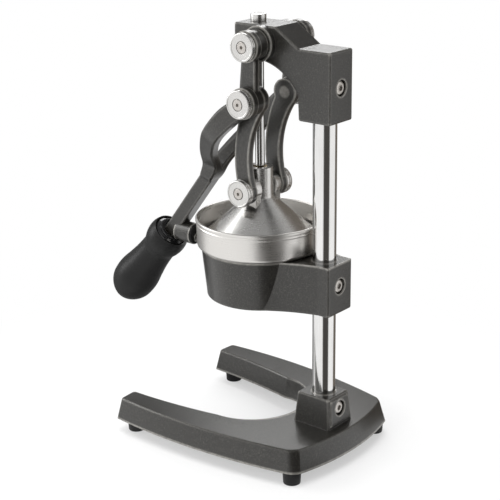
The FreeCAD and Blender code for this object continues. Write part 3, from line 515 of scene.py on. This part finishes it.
# Grip and ferrule along the grip's own axis, measured from its mouth
grip_turn = math.radians(138.8)
grip_axis = (0, -math.sin(grip_turn), math.cos(grip_turn))
grip_mouth = (0, COLUMN_Y - 0.1879, 0.1844)
grip_side = flowing([(18.2, 0), (19.9, 5), (20.3, 11), (19.4, 17.5), (17.4, 24.5), (17.1, 30), (18, 44),
                     (20, 58.5), (21.9, 70), (22.3, 79), (21.2, 89), (17.4, 97.5), (11.5, 104.7), (6, 107.7),
                     (0, 108.5)], 6)
turned_piece("grip_moulding", grip_side + [Vector(point) for point in (
    (0, 84.5), (5.55, 84.5), (5.55, 5.3), (17, 5.3), (17, 0.6))],
    grip_mouth, grip_axis, grip_black, "lever", ["grip"], 128, 60)
turned_piece("ferrule_ring", softened([
    (10.8, -2.6, 0.2), (12.6, -2.6, 0.5), (13.4, -1.8, 0.4), (13.4, -0.4, 0.3), (15.6, 0.6, 0.6), (16.6, 1.8, 0.4),
    (16.6, 5.2, 0), (5.55, 5.2, 0), (5.55, 1.7, 0), (10.8, 1.7, 0)], 5),
    grip_mouth, grip_axis, gloss, "lever", ["ferrule"], 96)


# Floor, backdrop and soft light
def join(tree, operation, first, second):
    """Math node of a socket with another socket or a number."""
    item = tree.nodes.new("ShaderNodeMath")
    item.operation = operation
    tree.links.new(first, item.inputs[0])
    if isinstance(second, float):
        item.inputs[1].default_value = second
    else:
        tree.links.new(second, item.inputs[1])
    return item.outputs["Value"]


def ramp_between(tree, value, low, high, start, end, smooth=False):
    item = tree.nodes.new("ShaderNodeMapRange")
    if smooth:
        item.interpolation_type = "SMOOTHSTEP"
    for socket, number in (("From Min", low), ("From Max", high), ("To Min", start), ("To Max", end)):
        item.inputs[socket].default_value = number
    tree.links.new(value, item.inputs["Value"])
    return item.outputs["Result"]


def mix_into(tree, factor, first, second, target):
    mix = tree.nodes.new("ShaderNodeMixShader")
    tree.links.new(factor, mix.inputs["Fac"])
    tree.links.new(first, mix.inputs[1])
    tree.links.new(second, mix.inputs[2])
    tree.links.new(mix.outputs["Shader"], target)


def white_for_eyes(tree, shader, fade):
    """White where the camera or a reflection looks past the object; the floor near it keeps its shadow."""
    path = tree.nodes.new("ShaderNodeLightPath")
    white = tree.nodes.new("ShaderNodeEmission")
    white.inputs["Strength"].default_value = 1.0
    mirrored_share = 0.95
    seen = join(tree, "MULTIPLY", path.outputs["Is Camera Ray"], fade)
    mirrored = join(tree, "MAXIMUM", path.outputs["Is Glossy Ray"], path.outputs["Is Transmission Ray"])
    soft = join(tree, "MULTIPLY", mirrored, mirrored_share)
    total = join(tree, "MAXIMUM", seen, soft)
    mix_into(tree, total, shader.outputs["BSDF"], white.outputs["Emission"],
             tree.nodes["Material Output"].inputs["Surface"])


def floor_material():
    material = bpy.data.materials.new("floor")
    material.use_nodes = True
    tree = material.node_tree
    shader = tree.nodes["Principled BSDF"]
    shader.inputs["Roughness"].default_value = 0.9
    shader.inputs["Specular IOR Level"].default_value = 0.1
    spot = tree.nodes.new("ShaderNodeTexCoord")
    grain = tree.nodes.new("ShaderNodeTexNoise")
    grain.inputs["Scale"].default_value = 300
    tree.links.new(spot.outputs["Object"], grain.inputs["Vector"])
    ramp = tree.nodes.new("ShaderNodeValToRGB")
    ramp.color_ramp.elements[0].color = (0.93, 0.93, 0.93, 1)
    ramp.color_ramp.elements[1].color = (0.96, 0.96, 0.96, 1)
    tree.links.new(grain.outputs["Fac"], ramp.inputs["Fac"])
    tree.links.new(ramp.outputs["Color"], shader.inputs["Base Color"])
    away = tree.nodes.new("ShaderNodeVectorMath")
    away.operation = "LENGTH"
    tree.links.new(spot.outputs["Object"], away.inputs[0])
    near, far, near_share = 0.1, 0.38, 0.45
    fade = ramp_between(tree, away.outputs["Value"], near, far, near_share, 1, smooth=True)
    white_for_eyes(tree, shader, fade)
    return material


def make_floor():
    half = 3.0
    data = bpy.data.meshes.new("floor")
    data.from_pydata([(-half, -half, 0), (half, -half, 0), (half, half, 0), (-half, half, 0)], [], [(0, 1, 2, 3)])
    item = bpy.data.objects.new("floor", data)
    data.materials.append(floor_material())
    scene.collection.objects.link(item)


def make_world():
    """Even light, seen as white round the object and mirrored darker from overhead."""
    world = bpy.data.worlds.new("studio")
    world.use_nodes = True
    scene.world = world
    tree = world.node_tree
    tree.nodes.clear()
    output = tree.nodes.new("ShaderNodeOutputWorld")
    light = tree.nodes.new("ShaderNodeBackground")
    light.inputs["Color"].default_value = (1, 1, 1, 1)
    light.inputs["Strength"].default_value = 0.45
    seen = tree.nodes.new("ShaderNodeBackground")
    seen.inputs["Color"].default_value = (1, 1, 1, 1)
    way = tree.nodes.new("ShaderNodeTexCoord")
    split = tree.nodes.new("ShaderNodeSeparateXYZ")
    tree.links.new(way.outputs["Generated"], split.inputs["Vector"])
    side_height, top_height, top_share = 0.4, 0.85, 0.35
    fall = ramp_between(tree, split.outputs["Z"], side_height, top_height, 1, top_share)
    tree.links.new(fall, seen.inputs["Strength"])
    path = tree.nodes.new("ShaderNodeLightPath")
    eyes = join(tree, "MAXIMUM", path.outputs["Is Camera Ray"], path.outputs["Is Glossy Ray"])
    every = join(tree, "MAXIMUM", eyes, path.outputs["Is Transmission Ray"])
    mix_into(tree, every, light.outputs["Background"], seen.outputs["Background"], output.inputs["Surface"])


def reflection_card(name, start, end, radius, low, high, tone, near=0.0):
    """Dark studio flag standing round the object, seen only in polished metal and gloss.

    It reaches from start to end, in degrees from the camera's bearing, and clears towards both ends. With near,
    it also lies on the floor from that radius round the column to its foot.
    """
    material = bpy.data.materials.new(name)
    material.use_nodes = True
    tree = material.node_tree
    tree.nodes.clear()
    output = tree.nodes.new("ShaderNodeOutputMaterial")
    glow = tree.nodes.new("ShaderNodeEmission")
    glow.inputs["Color"].default_value = (*tone, 1)
    clear = tree.nodes.new("ShaderNodeBsdfTransparent")
    spot = tree.nodes.new("ShaderNodeTexCoord")
    flat = tree.nodes.new("ShaderNodeSeparateXYZ")
    tree.links.new(spot.outputs["UV"], flat.inputs["Vector"])
    soft_edge = 0.3
    solid = ramp_between(tree, flat.outputs["X"], 0, soft_edge, 0, 1, smooth=True)
    mix_into(tree, solid, clear.outputs["BSDF"], glow.outputs["Emission"], output.inputs["Surface"])
    steps = 16
    centre_y = 0.03
    angles = [math.radians(CAMERA_BEARING + start + (end - start) * step / steps) for step in range(steps + 1)]
    points = [(radius * math.cos(angle), centre_y + radius * math.sin(angle), height)
              for angle in angles for height in (low, high)]
    faces = [(2 * step, 2 * step + 2, 2 * step + 3, 2 * step + 1) for step in range(steps)]
    edge = len(points)
    if near:
        points += [(near * math.cos(angle), COLUMN_Y + near * math.sin(angle), low) for angle in angles]
        faces += [(2 * step, 2 * step + 2, edge + step + 1, edge + step) for step in range(steps)]
    data = bpy.data.meshes.new(name)
    data.from_pydata(points, [], faces)
    layer = data.uv_layers.new(name="inwards")
    for loop in data.loops:
        index = loop.vertex_index
        step = index // 2 if index < edge else index - edge
        layer.uv[loop.index].vector = (min(step, steps - step) * 2 / steps, 0)
    data.materials.append(material)
    item = bpy.data.objects.new(name, data)
    scene.collection.objects.link(item)
    item.visible_camera = False
    item.visible_diffuse = False
    item.visible_transmission = False
    item.visible_shadow = False


make_floor()
make_world()
reflection_card("flag_right", -13, 47, 0.7, 0.001, 1.0, (0.07, 0.066, 0.062), 0.02)
reflection_card("flag_far_right", 94, 168, 0.65, 0.001, 0.75, (0.16, 0.14, 0.12), 0.12)
reflection_card("flag_left", -178, -112, 0.6, 0.001, 0.9, (0.34, 0.34, 0.34), 0.12)
reflection_card("flag_above", 122, 166, 0.75, 0.8, 1.4, (0.12, 0.12, 0.12))
reflection_card("flag_behind", -215, -150, 0.9, 0.001, 0.5, (0.15, 0.15, 0.15))


def soft_light(name, place, target, width, height, power, mirrored=True):
    data = bpy.data.lights.new(name, "AREA")
    data.shape = "RECTANGLE"
    data.size = width
    data.size_y = height
    data.energy = power
    item = bpy.data.objects.new(name, data)
    item.location = place
    item.rotation_euler = (Vector(target) - Vector(place)).to_track_quat("-Z", "Y").to_euler()
    item.visible_glossy = mirrored
    scene.collection.objects.link(item)


middle = (0, COLUMN_Y - 0.07, 0.2)
head = (0, COLUMN_Y, 0.35)
soft_light("overhead", (0.2, 0.1, 1.6), middle, 1.2, 1.2, 14, mirrored=False)
soft_light("left_bank", (0.6, -1.3, 0.8), middle, 0.7, 1.3, 10)
soft_light("side_bank", (1.6, 0.1, 0.7), middle, 0.6, 1.2, 9, mirrored=False)
soft_light("top_sheen", (-0.88, -0.7, 1.05), head, 1.3, 0.6, 8)

scene.view_settings.view_transform = "Standard"
